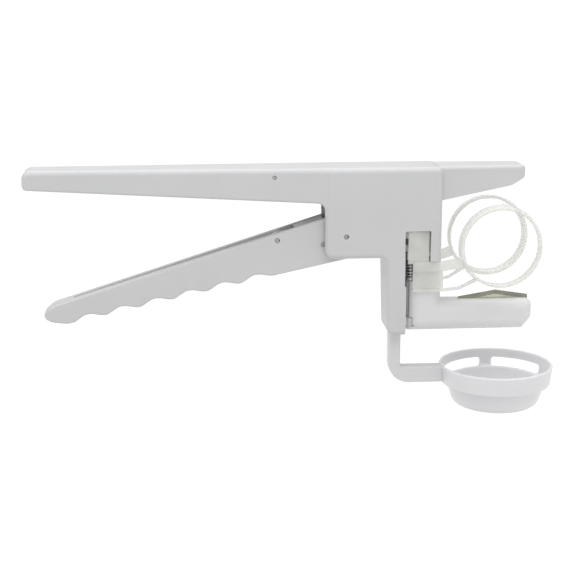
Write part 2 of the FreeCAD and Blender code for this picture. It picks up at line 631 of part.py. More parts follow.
def left_arm_spring():
    """Torsion spring round a hinge pin, seen through the notch in the arm."""
    x, y = HINGE
    turns = 6
    wire = 0.38
    pitch = 1.45
    winding = coil(2.15, wire, pitch, turns * pitch)
    winding.translate(V(x, y, -57.3))
    return winding


# ---------------------------------------------------------------- yolk separator
def separator_arm():
    """Stem that clips into the leg up to its shoulder, and the arm that carries the cup."""
    rear, front = STEM_X[0] - STEM_SHOULDER, STEM_X[1] + STEM_SHOULDER
    ring_x = CUP_X - CUP_RIM_R + 2.2
    arm = side_prism([
        (rear, LEG_BOTTOM_Z - 0.1, 0), (front, LEG_BOTTOM_Z - 0.1, 0), (front, -104.3, 1.6),
        (ring_x, -104.3, 0), (ring_x, -112.7, 0), (rear, -112.7, 11.0),
    ], -STEM_HALF, STEM_HALF)
    outer = lambda b: b.YLength < 0.01 and b.XMin > rear - 0.01 and b.XMax < ring_x - 0.5
    arm = fillet_where(arm, 0.9, outer)
    stem = box(STEM_X[0], STEM_X[1], -STEM_HALF + 0.4, STEM_HALF - 0.4, LEG_BOTTOM_Z - 2, -63.0)
    stem = fillet_where(stem, 0.8, lambda b: b.ZMin > -63.01)
    room = Part.makeCone(cup_radius(-120), cup_radius(-100), 20, V(CUP_X, 0, -120))
    return arm.fuse(stem).cut(room)


def cup_radius(z):
    """Outer radius of the slotted collar, which leans in slightly going down."""
    return CUP_RIM_R + 0.14 * (z - CUP_RIM_Z)


def separator_cup():
    """Collar with two long slots on the left, over a shallow bowl that keeps the yolk."""
    collar_low_z = -113.9
    collar_low = cup_radius(collar_low_z)
    profile = rounded_face([
        (CUP_RIM_R, CUP_RIM_Z, 0.6), (collar_low, collar_low_z, 0.6), (25.2, collar_low_z - 0.3, 0.4),
        (21.6, CUP_BOTTOM_Z, 5.4), (0, CUP_BOTTOM_Z, 0), (0, CUP_BOTTOM_Z + CUP_WALL, 0),
        (20.3, CUP_BOTTOM_Z + CUP_WALL, 4.2), (23.5, collar_low_z + 0.6, 0.6),
        (collar_low - CUP_WALL, collar_low_z + 1.4, 0.8), (CUP_RIM_R - CUP_WALL, CUP_RIM_Z, 0.6),
    ], lambda p: V(CUP_X + p.x, 0, p.y))
    cup = profile.revolve(V(CUP_X, 0, 0), V(0, 0, 1), 360)
    for start, end in CUP_SLOTS:
        slot = Part.makeCylinder(40, SLOT_HEIGHT, V(CUP_X, 0, SLOT_BOTTOM_Z), V(0, 0, 1), end - start)
        slot.rotate(V(CUP_X, 0, 0), V(0, 0, 1), start)
        slot = slot.cut(Part.makeCylinder(20, 8, V(CUP_X, 0, SLOT_BOTTOM_Z - 1)))
        slot = fillet_where(slot, 1.5, lambda b: b.ZLength < 0.01 and b.XLength > 1 and b.YLength > 1
                            and math.hypot(b.XLength, b.YLength) < 21)
        cup = cup.cut(slot.cut(Part.makeCylinder(24.6, 8, V(CUP_X, 0, SLOT_BOTTOM_Z - 1))))
    return cup.removeSplitter()


# ---------------------------------------------------------------- build
def main():
    os.makedirs("parts", exist_ok=True)
    save("housing", housing())
    save("pivot_pin", pivot_pin())
    save("spring_anchor_pin", anchor_pin())
    save("pivot_washers", pivot_washers())
    save("lower_handle", lower_handle())
    save("lever_bar", lever_bar())
    save("lever_rivets", lever_rivets())
    save("carriage", carriage())
    save("drive_pin", drive_pin())
    save("spreader_wedge", wedge())
    save("return_spring", return_spring())
    save("separator_arm", separator_arm())
    save("separator_cup", separator_cup())
    paired = {
        "arm": left_arm(), "blade": left_blade(), "blade_rivets": left_blade_rivets(),
        "cradle": left_cradle(), "hinge_pin": hinge_pin(), "arm_spring": left_arm_spring(),
    }
    for name, shape in paired.items():
        save("left_" + name, shape)
        save("right_" + name, mirrored(shape))


main()
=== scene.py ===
"""Looks of the hand-held egg cracker.

Finishes for the moulded, see-through and steel parts, and the small pieces that the rigid model
leaves plain. Everything is in metres, in the frame of the packed model.
"""

import math

import bmesh
import bpy
from bpy.props import FloatProperty, FloatVectorProperty, IntProperty, PointerProperty
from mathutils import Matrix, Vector


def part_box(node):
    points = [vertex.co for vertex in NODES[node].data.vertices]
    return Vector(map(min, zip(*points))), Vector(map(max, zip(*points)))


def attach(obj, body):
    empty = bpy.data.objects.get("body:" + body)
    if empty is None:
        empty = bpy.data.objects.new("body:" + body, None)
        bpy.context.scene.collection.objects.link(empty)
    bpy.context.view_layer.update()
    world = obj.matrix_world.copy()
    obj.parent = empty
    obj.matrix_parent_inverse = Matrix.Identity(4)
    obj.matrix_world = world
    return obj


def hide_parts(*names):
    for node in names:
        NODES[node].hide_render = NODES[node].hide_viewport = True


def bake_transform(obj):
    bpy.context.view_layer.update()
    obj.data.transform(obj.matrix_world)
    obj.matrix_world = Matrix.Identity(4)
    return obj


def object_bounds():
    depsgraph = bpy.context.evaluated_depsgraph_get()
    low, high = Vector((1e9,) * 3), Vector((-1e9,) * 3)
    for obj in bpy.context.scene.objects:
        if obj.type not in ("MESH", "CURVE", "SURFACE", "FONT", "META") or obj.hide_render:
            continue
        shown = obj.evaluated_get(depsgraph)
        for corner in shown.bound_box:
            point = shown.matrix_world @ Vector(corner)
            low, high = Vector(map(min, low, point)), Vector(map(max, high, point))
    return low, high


bl_info = {
    "name": "Egg cracker finish",
    "version": (1, 0, 0),
    "blender": (4, 5, 0),
    "location": "View3D > Sidebar > Egg cracker",
    "description": "Finishes and small pieces of a hand-held egg cracker",
    "category": "Object",
}

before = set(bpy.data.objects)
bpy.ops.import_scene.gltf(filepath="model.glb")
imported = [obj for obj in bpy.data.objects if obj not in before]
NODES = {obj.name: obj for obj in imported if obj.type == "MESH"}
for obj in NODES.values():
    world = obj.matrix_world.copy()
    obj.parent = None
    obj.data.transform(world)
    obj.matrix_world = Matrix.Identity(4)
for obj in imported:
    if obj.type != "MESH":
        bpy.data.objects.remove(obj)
MODEL_LOW, MODEL_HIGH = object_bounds()
MODEL_CENTRE = (MODEL_LOW + MODEL_HIGH) / 2

HANDLE_MOULDINGS = ("housing", "lower_handle")
HOUSING_WALL = 0.0024
CUP_WALL = 0.0016

RIVET_RADIUS = 0.0012
CORE_SHARE = 0.9           # of the pin's wall, left between the wall's middle and the core
CORE_SHORTER = 0.0012      # a core is this much shorter than its pin

ARM_SPRING_LEAD = 0.0012   # how far the ends of an arm spring reach sideways
CLOSE_TURNS = 2            # close turns at each end of an arm spring
CLOSE_PITCH = 2.1          # pitch of the close turns, in wire radii
RETURN_EYE = 0.00255       # from the upper anchor to the first turn of the return spring
RETURN_EYE_RADIUS = 0.00135
RETURN_RADIUS = 0.0016

BLADE_APEX_SHARE = 0.536   # place of the cutting edge's peak, from the rear end of the blade
BLADE_FRONT_FALL = 0.0026  # from the peak down to the front end of the cutting edge
BLADE_REAR_FALL = 0.0032
BLADE_EDGE_SHARE = 0.9     # of the blade's thickness, ground away at the cutting edge

EJECTOR_MARKS = 4
EJECTOR_FIRST = 0.0085     # from the free end of the upper handle to the first mark
EJECTOR_PITCH = 0.030
EJECTOR_RADIUS = 0.0021
EJECTOR_HEIGHT = 0.0003
GATE_RADIUS = 0.0013
GATE_HEIGHT = 0.0005

FLOOR_SIZE = 60.0
# Between these distances the floor's glow rises from a painted shadow under the tool to its full
# glow.
FLOOR_NEAR, FLOOR_FAR = 0.3, 0.8   # the floor's own light rises between these distances
ACROSS = math.radians(90)  # turns a piece made along Z to lie along Y


# ------------------------------------------------------------------ sizes and colours
class CRACKER_PG_stage(bpy.types.PropertyGroup):
    """Camera, floor and lights"""

    camera_distance: FloatProperty(
        name="Camera distance", description="From the aim point to the camera",
        default=0.72, unit="LENGTH"
    )
    camera_turn: FloatProperty(
        name="Camera turn", description="How far the camera stands towards the handle end",
        default=math.radians(4.7), subtype="ANGLE"
    )
    camera_height: FloatProperty(
        name="Camera height", description="Elevation above the horizon",
        default=math.radians(13.4), subtype="ANGLE"
    )
    camera_lens: FloatProperty(
        name="Lens", description="Focal length in millimetres on a 36 mm wide sensor", default=89.6
    )
    aim_shift: FloatVectorProperty(
        name="Aim shift", description="From the middle of the model to the aim point",
        default=(-0.0042, 0.0, 0.0013), subtype="TRANSLATION", unit="LENGTH"
    )
    floor_drop: FloatProperty(
        name="Floor drop", description="Gap between the cup and the floor",
        default=0.5, unit="LENGTH"
    )
    sky_strength: FloatProperty(
        name="Sky", description="Strength of the even white surround", default=0.375
    )
    key_power: FloatProperty(
        name="Key", description="Power of the wide overhead soft box", default=21.5
    )
    key_size: FloatProperty(
        name="Key size", description="Width of the overhead soft box",
        default=2.2, unit="LENGTH"
    )
    # The floor glows by its own emission, as a light. Right under the tool its glow is dimmed, a
    # painted shadow.
    floor_glow: FloatProperty(
        name="Floor glow", description="Light that the far floor gives back", default=0.95
    )
    floor_painted_shadow: FloatProperty(
        name="Floor shade", description="Light that the floor gives back right under the tool",
        default=0.30
    )


class CRACKER_PG_plastic(bpy.types.PropertyGroup):
    """Moulded plastics"""

    body_colour: FloatVectorProperty(
        name="Body", description="White of the housing and the two handles",
        default=(0.632, 0.634, 0.642), subtype="COLOR", min=0.0, max=1.0
    )
    arm_colour: FloatVectorProperty(
        name="Arms", description="Slightly whiter plastic of the two arms",
        default=(0.77, 0.77, 0.772), subtype="COLOR", min=0.0, max=1.0
    )
    cup_colour: FloatVectorProperty(
        name="Separator cup", description="White of the yolk separator's cup",
        default=(0.80, 0.80, 0.815), subtype="COLOR", min=0.0, max=1.0
    )
    stem_colour: FloatVectorProperty(
        name="Separator stem", description="White of the yolk separator's stem",
        default=(0.725, 0.725, 0.735), subtype="COLOR", min=0.0, max=1.0
    )
    hoop_colour: FloatVectorProperty(
        name="Hoops", description="Milky tint of the see-through hoops",
        default=(0.86, 0.865, 0.82), subtype="COLOR", min=0.0, max=1.0
    )
    nylon_colour: FloatVectorProperty(
        name="Nylon", description="Natural nylon of the inner pieces",
        default=(0.74, 0.73, 0.68), subtype="COLOR", min=0.0, max=1.0
    )
    grain: FloatProperty(
        name="Grain", description="Width of the fine moulded grain", default=0.00022, unit="LENGTH"
    )


class CRACKER_PG_steel(bpy.types.PropertyGroup):
    """Metal parts"""

    pin_wall: FloatProperty(
        name="Pin wall", description="Sheet that a rolled pin is made of",
        default=0.00045, unit="LENGTH"
    )
    wire_radius: FloatProperty(
        name="Spring wire", description="Half the thickness of the spring wire",
        default=0.00032, unit="LENGTH"
    )
    arm_spring_turns: IntProperty(
        name="Arm spring turns", description="Open turns of each arm spring", default=4
    )
    return_spring_turns: IntProperty(
        name="Return spring turns", description="Close turns of the return spring", default=24
    )
    hook_radius: FloatProperty(
        name="Hook radius", description="Hook at the lower end of the return spring",
        default=0.0024, unit="LENGTH"
    )
    blade_grind: FloatProperty(
        name="Blade grind", description="Width of the ground edge", default=0.0021, unit="LENGTH"
    )
    blade_colour: FloatVectorProperty(
        name="Blade", description="Bright rolled stainless steel with a warm cast",
        default=(0.60, 0.60, 0.49), subtype="COLOR", min=0.0, max=1.0
    )
    pin_colour: FloatVectorProperty(
        name="Pins", description="Ground steel of pins, rivets and springs",
        default=(0.60, 0.60, 0.61), subtype="COLOR", min=0.0, max=1.0
    )


GROUPS = {
    "cracker_stage": CRACKER_PG_stage,
    "cracker_plastic": CRACKER_PG_plastic,
    "cracker_steel": CRACKER_PG_steel,
}


# ------------------------------------------------------------------ material helpers
class NodeBench:
    """A material's node tree, with short calls to add and join its nodes."""

    def __init__(self, name):
        self.material = bpy.data.materials.new(name)
        self.material.use_nodes = True
        self.tree = self.material.node_tree
        self.shader = self.tree.nodes["Principled BSDF"]
        self.place = self.add("ShaderNodeTexCoord").outputs["Object"]

    def add(self, kind, inputs=None, **settings):
        node = self.tree.nodes.new(kind)
        for key, value in settings.items():
            setattr(node, key, value)
        for key, value in (inputs or {}).items():
            if isinstance(value, bpy.types.NodeSocket):
                self.tree.links.new(value, node.inputs[key])
            else:
                node.inputs[key].default_value = value
        return node

    def set(self, socket, value):
        if isinstance(value, bpy.types.NodeSocket):
            self.tree.links.new(value, self.shader.inputs[socket])
        else:
            self.shader.inputs[socket].default_value = value

    def noise(self, size, detail=2.0, roughness=0.5, stretch=(1.0, 1.0, 1.0)):
        """Noise whose features are about size metres across, stretched along the axes."""
        mapping = self.add("ShaderNodeMapping", {"Vector": self.place, "Scale": stretch})
        inputs = {"Vector": mapping.outputs["Vector"], "Scale": 1.0 / size, "Detail": detail,
                  "Roughness": roughness}
        return self.add("ShaderNodeTexNoise", inputs).outputs["Fac"]

    def ranged(self, value, low, high, start=0.3, end=0.7):
        """The value, moved from the range start to end into the range low to high."""
        inputs = {"Value": value, "From Min": start, "From Max": end, "To Min": low, "To Max": high}
        return self.add("ShaderNodeMapRange", inputs).outputs["Result"]

    def tinted(self, factor, colour, darken):
        """The colour, darkened by a share where the factor is low."""
        dark = [c * (1.0 - darken) for c in colour]
        inputs = {"Factor": factor, "A": (*dark, 1.0), "B": (*colour, 1.0)}
        mix = self.add("ShaderNodeMix", data_type="RGBA")
        for key, value in inputs.items():
            sockets = [s for s in mix.inputs if s.name == key and s.enabled]
            if isinstance(value, bpy.types.NodeSocket):
                self.tree.links.new(value, sockets[0])
            else:
                sockets[0].default_value = value
        return [s for s in mix.outputs if s.enabled][0]

    def bump(self, height, depth, below=None):
        inputs = {"Height": height, "Strength": 1.0, "Distance": depth}
        if below is not None:
            inputs["Normal"] = below
        return self.add("ShaderNodeBump", inputs).outputs["Normal"]


def moulded_plastic(name, colour, grain, gloss=0.42, milkiness=0.12):
    """White moulded plastic: faint flow clouds, soft sink marks, fine grain and handling wear."""
    bench = NodeBench(name)
    clouds = bench.noise(0.030, detail=3.0)
    wear = bench.noise(0.006, detail=4.0, roughness=0.65, stretch=(0.35, 1.0, 1.0))
    fine = bench.noise(grain, detail=1.0)
    sinks = bench.noise(0.016, detail=1.0)
    bench.set("Base Color", bench.tinted(bench.ranged(clouds, 0.0, 1.0), colour, 0.03))
    bench.set("Roughness", bench.ranged(wear, gloss - 0.06, gloss + 0.08))
    soft = bench.bump(sinks, 0.00006)
    bench.set("Normal", bench.bump(fine, grain * 0.05, soft))
    bench.set("IOR", 1.53)
    bench.set("Subsurface Weight", milkiness)
    bench.set("Subsurface Radius", (1.0, 0.95, 0.9))
    bench.set("Subsurface Scale", 0.0025)
    return bench.material


def see_through_plastic(name, colour, grain):
    """Milky see-through plastic of the hoops, clearer in some places than in others."""
    bench = NodeBench(name)
    haze = bench.noise(0.012, detail=3.0)
    fine = bench.noise(grain, detail=1.0)
    bench.set("Base Color", bench.tinted(bench.ranged(haze, 0.0, 1.0), colour, 0.03))
    bench.set("Roughness", bench.ranged(haze, 0.34, 0.46))
    bench.set("Normal", bench.bump(fine, grain * 0.04))
    bench.set("Alpha", bench.ranged(haze, 0.52, 0.64))
    bench.set("IOR", 1.49)
    bench.set("Subsurface Weight", 0.3)
    bench.set("Subsurface Radius", (1.0, 1.0, 0.95))
    bench.set("Subsurface Scale", 0.003)
    return bench.material


def rolled_steel(name, colour, rough=0.3, along=(0.03, 1.0, 1.0)):
    """Steel with fine marks drawn out along one direction, and a few duller patches."""
    bench = NodeBench(name)
    streaks = bench.noise(0.00035, detail=3.0, stretch=along)
    patches = bench.noise(0.008, detail=2.0)
    bench.set("Base Color", bench.tinted(bench.ranged(patches, 0.0, 1.0), colour, 0.18))
    bench.set("Roughness", bench.ranged(streaks, rough - 0.08, rough + 0.14))
    bench.set("Normal", bench.bump(streaks, 0.000012))
    bench.set("Metallic", 1.0)
    return bench.material


def dress(names, material):
    """Gives CAD nodes a finish by filling their material slots."""
    for name in names:
        for each in NODES[name].material_slots:
            each.material = material


def select_only(*things):
    """Selects these objects and no others, and makes the first one active."""
    bpy.ops.object.select_all(action="DESELECT")
    for thing in things:
        thing.select_set(True)
    if things:
        bpy.context.view_layer.objects.active = things[0]


def settle(name, body, material, angle=30.0):
    """Ends a piece: transforms applied, smooth where its faces meet gently, riding on its body.

    A piece without a body, one that spans two, is attached to none.
    """
    thing = bpy.context.object
    if thing.mode != "OBJECT":
        bpy.ops.object.mode_set(mode="OBJECT")
    select_only(thing)
    bpy.ops.object.transform_apply(location=True, rotation=True, scale=True)
    bpy.ops.object.shade_smooth_by_angle(angle=math.radians(angle))
    thing.name = name
    thing.data.materials.clear()
    thing.data.materials.append(material)
    if body:
        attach(thing, body)
    return thing


def pick(test, kind="VERT"):
    """In edit mode, selects only the vertices, edges or faces whose middle passes the test."""
    bpy.ops.mesh.select_mode(type=kind)
    bpy.ops.mesh.select_all(action="DESELECT")
    mesh = bmesh.from_edit_mesh(bpy.context.object.data)
    for element in {"VERT": mesh.verts, "EDGE": mesh.edges, "FACE": mesh.faces}[kind]:
        if kind == "VERT":
            middle = element.co
        elif kind == "EDGE":
            middle = (element.verts[0].co + element.verts[1].co) / 2
        else:
            middle = element.calc_center_median()
        if test(middle):
            element.select_set(True)
    mesh.select_flush_mode()
    bmesh.update_edit_mesh(bpy.context.object.data)


def apply_modifier(thing, kind, **settings):
    """Adds a modifier with these settings and applies it at once."""
    modifier = thing.modifiers.new(kind.lower(), kind)
    for key, value in settings.items():
        setattr(modifier, key, value)
    select_only(thing)
    bpy.ops.object.modifier_apply(modifier=modifier.name)


def outward_faces(thing):
    """Merges doubles and turns every face outwards."""
    select_only(thing)
    bpy.ops.object.mode_set(mode="EDIT")
    bpy.ops.mesh.select_all(action="SELECT")
    bpy.ops.mesh.remove_doubles(threshold=0.000002)
    bpy.ops.mesh.normals_make_consistent(inside=False)
    bpy.ops.object.mode_set(mode="OBJECT")


# ------------------------------------------------------------------ operators
class CRACKER_OT_stage(bpy.types.Operator):
    """Make the camera, the glowing floor with its painted shadow under the tool, and the soft lights
    """

    bl_idname = "cracker.stage"
    bl_label = "Stage"

    def execute(self, context):
        settings = context.scene.cracker_stage
        select_only()
        turn, height = settings.camera_turn, settings.camera_height
        back = Vector((-math.sin(turn) * math.cos(height), -math.cos(turn) * math.cos(height),
                       math.sin(height)))
        aim = MODEL_CENTRE + Vector(settings.aim_shift)
        bpy.ops.object.camera_add(location=aim + back * settings.camera_distance)
        camera = context.object
        camera.name = "camera"
        camera.rotation_mode = "QUATERNION"
        camera.rotation_quaternion = (-back).to_track_quat("-Z", "Y")
        camera.data.lens = settings.camera_lens
        camera.data.clip_start, camera.data.clip_end = 0.01, 50.0
        context.scene.camera = camera

        bpy.ops.mesh.primitive_plane_add(
            size=FLOOR_SIZE, location=(0, 0, MODEL_LOW.z - settings.floor_drop))
        floor = context.object
        floor.name = "floor"
        bench = NodeBench("glowing_floor")
        bench.set("Base Color", bench.tinted(bench.noise(0.4), (0.2, 0.2, 0.2), 0.01))
        bench.set("Roughness", 0.9)
        bench.set("Emission Color", (1.0, 1.0, 1.0, 1.0))
        # Painted shadow: the floor's glow is weakest right under the tool and rises to full glow
        # further out.
        reach = bench.add("ShaderNodeVectorMath", {0: bench.place}, operation="LENGTH")
        bench.set("Emission Strength", bench.ranged(
            reach.outputs["Value"], settings.floor_painted_shadow, settings.floor_glow,
            FLOOR_NEAR, FLOOR_FAR))
        floor.data.materials.append(bench.material)

        bpy.ops.object.light_add(type="AREA", location=MODEL_CENTRE + Vector((-0.05, -0.15, 0.9)))
        light = context.object
        light.name = "overhead_box"
        light.data.energy = settings.key_power
        light.data.size = settings.key_size

        world = bpy.data.worlds.new("even_sky")
        world.use_nodes = True
        sky = world.node_tree.nodes["Background"]
        sky.inputs["Color"].default_value = (1.0, 1.0, 1.0, 1.0)
        sky.inputs["Strength"].default_value = settings.sky_strength
        context.scene.world = world
        context.scene.view_settings.view_transform = "Standard"
        return {"FINISHED"}


class CRACKER_OT_mouldings(bpy.types.Operator):
    """Finish the white mouldings, the nylon pieces and the separator"""

    bl_idname = "cracker.mouldings"
    bl_label = "White mouldings"

    def execute(self, context):
        plastic = context.scene.cracker_plastic
        grain = plastic.grain
        body = moulded_plastic("white_moulding", tuple(plastic.body_colour), grain)
        dress(HANDLE_MOULDINGS, body)
        arms = moulded_plastic("arm_moulding", tuple(plastic.arm_colour), grain)
        dress(("left_arm", "right_arm"), arms)
        stem = moulded_plastic("stem_moulding", tuple(plastic.stem_colour), grain, 0.34, 0.2)
        dress(("separator_arm",), stem)
        cup = moulded_plastic("cup_moulding", tuple(plastic.cup_colour), grain, 0.34, 0.6)
        dress(("separator_cup",), cup)
        nylon = moulded_plastic("natural_nylon", tuple(plastic.nylon_colour), grain, 0.55, 0.2)
        dress(("carriage", "pivot_washers"), nylon)
        return {"FINISHED"}


class CRACKER_OT_cradles(bpy.types.Operator):
    """Finish the see-through hoops and their straps"""

    bl_idname = "cracker.cradles"
    bl_label = "See-through hoops"

    def execute(self, context):
        plastic = context.scene.cracker_plastic
        dress(("left_cradle", "right_cradle"),
              see_through_plastic("milky_hoop", tuple(plastic.hoop_colour), plastic.grain))
        return {"FINISHED"}


class CRACKER_OT_steel(bpy.types.Operator):
    """Finish the steel bar, blades, pins, rivets and springs"""

    bl_idname = "cracker.steel"
    bl_label = "Steel parts"

    def execute(self, context):
        steel = context.scene.cracker_steel
        blades = rolled_steel("blade_steel", tuple(steel.blade_colour), 0.26)
        dress(("left_blade", "right_blade"), blades)
        plate = rolled_steel("bar_steel", tuple(steel.blade_colour), 0.36)
        dress(("lever_bar", "spreader_wedge"), plate)
        pins = rolled_steel("pin_steel", tuple(steel.pin_colour), 0.32, (1.0, 1.0, 1.0))
        dress(("pivot_pin", "spring_anchor_pin", "lever_rivets", "drive_pin", "left_hinge_pin",
               "right_hinge_pin", "left_blade_rivets", "right_blade_rivets", "return_spring",
               "left_arm_spring", "right_arm_spring"), pins)
        return {"FINISHED"}


def rolled_pin(name, middle, radius, length, wall, body, material):
    """A pin rolled from sheet, with the slit that such a pin has, lying along Y."""
    select_only()
    bpy.ops.mesh.primitive_circle_add(
        vertices=40, radius=radius - wall, location=middle, rotation=(ACROSS, 0, 0))
    pin = bpy.context.object
    bpy.ops.object.transform_apply(location=True, rotation=True, scale=True)
    bpy.ops.object.mode_set(mode="EDIT")
    pick(lambda p: p.x - middle[0] > 0.985 * (radius - wall))
    bpy.ops.mesh.delete(type="VERT")
    bpy.ops.mesh.select_all(action="SELECT")
    bpy.ops.transform.translate(value=(0, -length / 2, 0))
    bpy.ops.mesh.extrude_region_move(TRANSFORM_OT_translate={"value": (0, length, 0)})
    bpy.ops.mesh.select_all(action="SELECT")
    bpy.ops.mesh.normals_make_consistent(inside=False)
    bpy.ops.object.mode_set(mode="OBJECT")
    apply_modifier(pin, "SOLIDIFY", thickness=wall * 0.98, offset=0.0)
    outward_faces(pin)
    apply_modifier(pin, "BEVEL", width=wall * 0.28, segments=2, limit_method="ANGLE",
                   angle_limit=math.radians(50))
    return settle(name, body, material)


def pin_core(name, middle, radius, length, body, material):
    """The darker core that closes a rolled pin just below its ends."""
    select_only()
    bpy.ops.mesh.primitive_cylinder_add(
        vertices=24, radius=radius, depth=length, location=middle, rotation=(ACROSS, 0, 0))
    bpy.ops.object.transform_apply(location=True, rotation=True, scale=True)
    bpy.ops.object.mode_set(mode="EDIT")
    for side in (-1.0, 1.0):
        end_y = middle[1] + side * length / 2
        pick(lambda p: abs(p.y - end_y) < 0.00001, "FACE")
        bpy.ops.mesh.inset(thickness=radius * 0.55)
        bpy.ops.transform.translate(value=(0, side * radius * 0.35, 0))
    bpy.ops.object.mode_set(mode="OBJECT")
    return settle(name, body, material, 50.0)


def wound_wire(name, middle, radius, wire, sections):
    """A spring standing along Z: each section is (turns, pitch), wound one on top of the last."""
    parts = []
    z = middle[2]
    for turns, pitch in sections:
        select_only()
        bpy.ops.mesh.primitive_circle_add(
            vertices=10, radius=wire, location=(middle[0] + radius, middle[1], z),
            rotation=(ACROSS, 0, 0))
        part = bpy.context.object
        bpy.ops.object.transform_apply(location=False, rotation=True, scale=True)
        bpy.context.scene.cursor.location = (middle[0], middle[1], z)
        bpy.ops.object.origin_set(type="ORIGIN_CURSOR")
        apply_modifier(part, "SCREW", axis="Z", angle=math.tau, iterations=turns,
                       screw_offset=pitch, steps=28, render_steps=28, use_normal_calculate=True)
        parts.append(part)
        z += turns * pitch
    select_only(*parts)
    bpy.ops.object.join()
    spring = bpy.context.object
    spring.name = name
    outward_faces(spring)
    return spring


def close_wire_ends(spring, leads):
    """Draws each open end of a spring out along its lead, then closes it.

    Each lead is a test that finds the end, and the moves that it makes.
    """
    select_only(spring)
    bpy.ops.object.transform_apply(location=True, rotation=True, scale=True)
    bpy.ops.object.mode_set(mode="EDIT")
    for test, moves in leads:
        bpy.ops.mesh.select_mode(type="EDGE")
        bpy.ops.mesh.select_all(action="DESELECT")
        bpy.ops.mesh.select_non_manifold(extend=False, use_wire=False, use_boundary=True)
        mesh = bmesh.from_edit_mesh(spring.data)
        for edge in mesh.edges:
            if edge.select and not test((edge.verts[0].co + edge.verts[1].co) / 2):
                edge.select_set(False)
        mesh.select_flush_mode()
        bmesh.update_edit_mesh(spring.data)
        for move in moves:
            bpy.ops.mesh.extrude_edges_move(TRANSFORM_OT_translate={"value": move})
        bpy.ops.mesh.edge_face_add()
    bpy.ops.mesh.select_all(action="SELECT")
    bpy.ops.mesh.normals_make_consistent(inside=False)
    bpy.ops.object.mode_set(mode="OBJECT")


class CRACKER_OT_pins(bpy.types.Operator):
    """Make the rolled pins that show on the sides of the housing and the lower handle"""

    bl_idname = "cracker.pins"
    bl_label = "Rolled pins"

    def execute(self, context):
        steel = context.scene.cracker_steel
        material = rolled_steel("rolled_pin_steel", tuple(steel.pin_colour), 0.34, (1.0, 0.05, 1.0))
        thinner = steel.pin_wall * CORE_SHARE
        for node, body in (("pivot_pin", "housing"), ("spring_anchor_pin", "housing")):
            low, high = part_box(node)
            middle, radius, length = (low + high) / 2, (high.x - low.x) / 2, high.y - low.y
            pin = rolled_pin(node + "_rolled", middle, radius, length, steel.pin_wall, body,
                             material)
            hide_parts(node)
            pin_core(node + "_core", middle, radius - thinner, length - CORE_SHORTER, body,
                     material)
        low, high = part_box("lever_rivets")
        radius, length = RIVET_RADIUS, high.y - low.y
        for name, x, z in (("rear_rivet", low.x + radius, high.z - radius),
                           ("front_rivet", high.x - radius, low.z + radius)):
            pin = rolled_pin(name, (x, 0, z), radius, length, steel.pin_wall, "lower_handle",
                             material)
            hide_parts("lever_rivets")
            pin_core(name + "_core", (x, 0, z), radius - thinner, length - CORE_SHORTER,
                     "lower_handle", material)
        return {"FINISHED"}


class CRACKER_OT_springs(bpy.types.Operator):
    """Wind the two arm springs and the return spring"""

    bl_idname = "cracker.springs"
    bl_label = "Springs"

    def execute(self, context):
        steel = context.scene.cracker_steel
        wire = steel.wire_radius
        material = rolled_steel("spring_wire", tuple(steel.pin_colour), 0.3, (1.0, 1.0, 1.0))
        for side in ("left", "right"):
            low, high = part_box(side + "_arm_spring")
            middle = (low + high) / 2
            radius = (high.x - low.x) / 2 - wire
            close = CLOSE_PITCH * wire
            turns = steel.arm_spring_turns
            room = high.z - low.z - 2 * wire
            open_pitch = (room - 2 * CLOSE_TURNS * close) / turns
            spring = wound_wire(
                side + "_spring", (middle.x, middle.y, low.z + wire), radius, wire,
                ((CLOSE_TURNS, close), (turns, open_pitch), (CLOSE_TURNS, close)))
            lead = ARM_SPRING_LEAD if side == "left" else -ARM_SPRING_LEAD
            top, bottom = high.z - 2 * wire, low.z + 2 * wire
            close_wire_ends(spring, (
                (lambda p: p.z > top - 0.001, ((0.0, lead, 0.0),)),
                (lambda p: p.z < bottom + 0.001, ((0.0, -lead, 0.0),)),
            ))
            settle(side + "_spring", "housing", material, 60.0)
            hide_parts(side + "_arm_spring")
        anchor = (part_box("spring_anchor_pin")[0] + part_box("spring_anchor_pin")[1]) / 2
        low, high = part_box("return_spring")
        horn = Vector((high.x - steel.hook_radius, 0.0, low.z + steel.hook_radius))
        reach = (horn - anchor).length
        first, last = RETURN_EYE, reach - 2 * steel.hook_radius - 0.001
        turns = steel.return_spring_turns
        spring = wound_wire("pull_spring", (0.0, 0.0, first), RETURN_RADIUS, wire,
                            ((turns, (last - first) / turns),))
        close_wire_ends(spring, (
            (lambda p: p.z < (first + last) / 2, ((-RETURN_RADIUS, 0.0, -first * 0.45),)),
            (lambda p: p.z > (first + last) / 2, ((-RETURN_RADIUS, 0.0, 0.0009),)),
        ))
        loops = [spring]
        for centre, radius, turned in ((0.0, RETURN_EYE_RADIUS, 0.0),
                                       (reach - steel.hook_radius, steel.hook_radius, 90.0)):
            select_only()
            bpy.ops.mesh.primitive_torus_add(
                major_radius=radius, minor_radius=wire, major_segments=40, minor_segments=10,
                location=(0, 0, centre), rotation=(ACROSS, 0, math.radians(turned)))
            bpy.ops.object.transform_apply(location=True, rotation=True, scale=True)
            loops.append(context.object)
        select_only(*loops)
        bpy.ops.object.join()
        spring = context.object
        spring.rotation_mode = "QUATERNION"
        spring.rotation_quaternion = Vector((0, 0, 1)).rotation_difference(horn - anchor)
        spring.location = anchor
        settle("pull_spring", None, material, 60.0)
        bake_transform(spring)
        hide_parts("return_spring")
        return {"FINISHED"}


